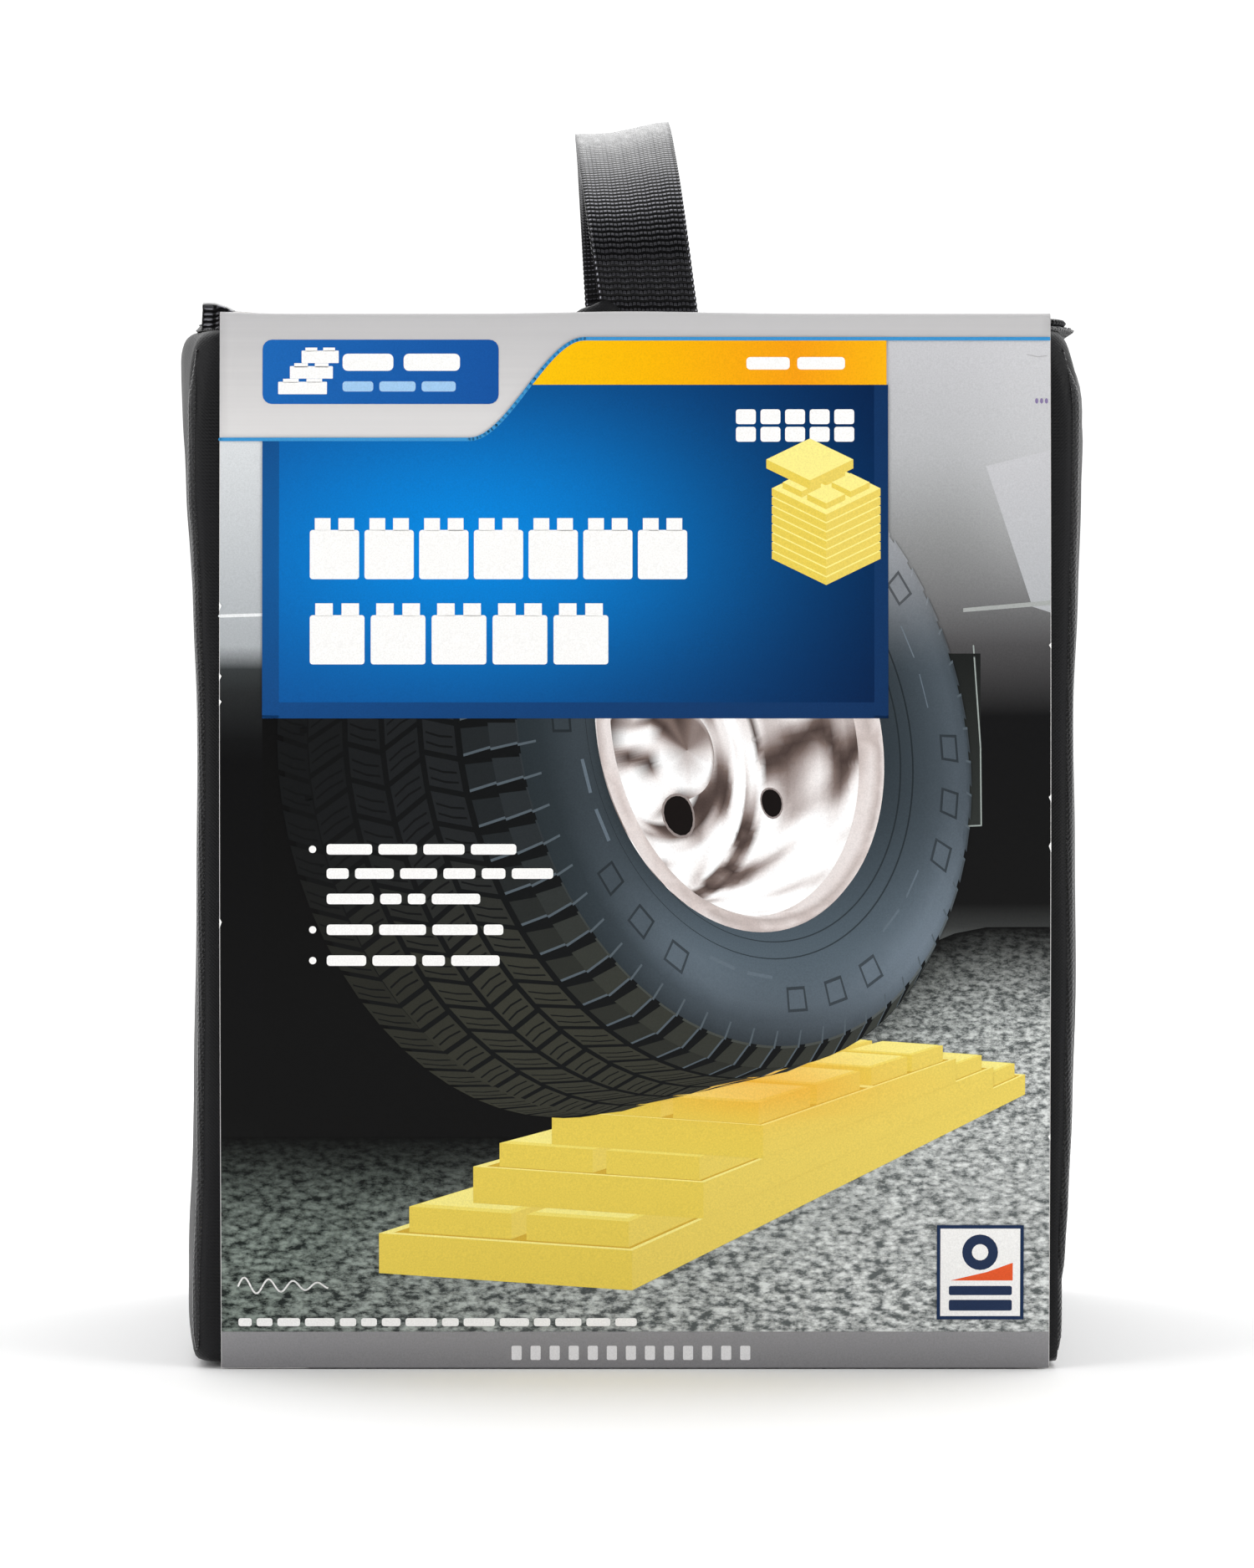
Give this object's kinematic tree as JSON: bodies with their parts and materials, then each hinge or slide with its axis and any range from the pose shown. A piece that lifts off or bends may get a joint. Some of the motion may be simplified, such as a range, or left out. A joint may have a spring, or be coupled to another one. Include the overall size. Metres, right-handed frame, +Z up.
{
  "type": "leveling block set",
  "caption": "Stack of interlocking square plastic wheel leveling blocks in a black zippered nylon carry bag with a webbing handle, wrapped in a printed cardboard sleeve.",
  "frame": {"origin": "centre of the base, on the surface that the set stands on", "axes": "+Z up, the sleeve's printed front faces -Y, +X to the right as seen from the front"},
  "size_m": [0.2354, 0.232, 0.3265],
  "materials": {
    "block_plastic": "satin moulded polypropylene, lightly pebbled",
    "bag_nylon": "satin coated nylon, plain weave",
    "binding_tape": "matt woven tape",
    "strap_webbing": "herringbone webbing with a soft sheen",
    "zipper_coil": "satin nylon coil",
    "zipper_metal": "black painted zinc",
    "printed_card": "printed and gloss coated",
    "card_board": "uncoated"
  },
  "bodies": {
    "root": {"leveling_block_01": "block_plastic", "leveling_block_02": "block_plastic", "leveling_block_03": "block_plastic", "leveling_block_04": "block_plastic", "leveling_block_05": "block_plastic", "leveling_block_06": "block_plastic", "leveling_block_07": "block_plastic", "leveling_block_08": "block_plastic", "leveling_block_09": "block_plastic", "leveling_block_10": "block_plastic", "bag_front_panel": "bag_nylon", "bag_back_panel": "bag_nylon", "bag_left_panel": "bag_nylon", "bag_right_panel": "bag_nylon", "bag_base_panel": "bag_nylon", "seam_binding_front_left": "binding_tape", "seam_binding_front_right": "binding_tape", "seam_binding_back_left": "binding_tape", "seam_binding_back_right": "binding_tape", "zipper_tape_bag": "binding_tape", "zipper_coil_bag": "zipper_coil", "zipper_bottom_stop": "zipper_metal", "zipper_top_stop": "zipper_metal", "sleeve_back_panel": "printed_card", "sleeve_bottom_panel": "card_board", "sleeve_glue_flap": "card_board"},
    "lid": {"bag_lid_panel": "bag_nylon", "lid_hinge_tape": "binding_tape", "zipper_tape_lid": "binding_tape", "zipper_coil_lid": "zipper_coil", "handle_root_front": "strap_webbing", "handle_root_back": "strap_webbing", "sleeve_top_panel": "printed_card"},
    "handle": {"handle_strap": "strap_webbing"},
    "sleeve_front": {"sleeve_front_panel": "printed_card"},
    "slider": {"zipper_slider": "zipper_metal"},
    "pull_tab": {"zipper_pull_tab": "zipper_metal"}
  },
  "joints": [
    {"name": "lid_hinge", "type": "hinge", "parent": "root", "child": "lid", "pos_m": [0, 0.1157, 0.2709], "axis": [-1, 0, 0], "range_deg": [0, 105]},
    {"name": "sleeve_front_crease", "type": "hinge", "parent": "lid", "child": "sleeve_front", "pos_m": [0, -0.1157, 0.2709], "axis": [-1, 0, 0], "range_deg": [0, 150]},
    {"name": "handle_flop", "type": "hinge", "parent": "lid", "child": "handle", "pos_m": [0, 0, 0.27], "axis": [0, 1, 0], "range_deg": [-50, 50], "stiffness_Nm_per_rad": 0.02},
    {"name": "zipper_slide", "type": "slide", "parent": "root", "child": "slider", "axis": [0, -1, 0], "range_m": [0, 0.18]},
    {"name": "pull_tab_hinge", "type": "hinge", "parent": "slider", "child": "pull_tab", "pos_m": [0.1108, 0.098, 0.273], "axis": [-1, 0, 0], "range_deg": [0, 160]}
  ]
}
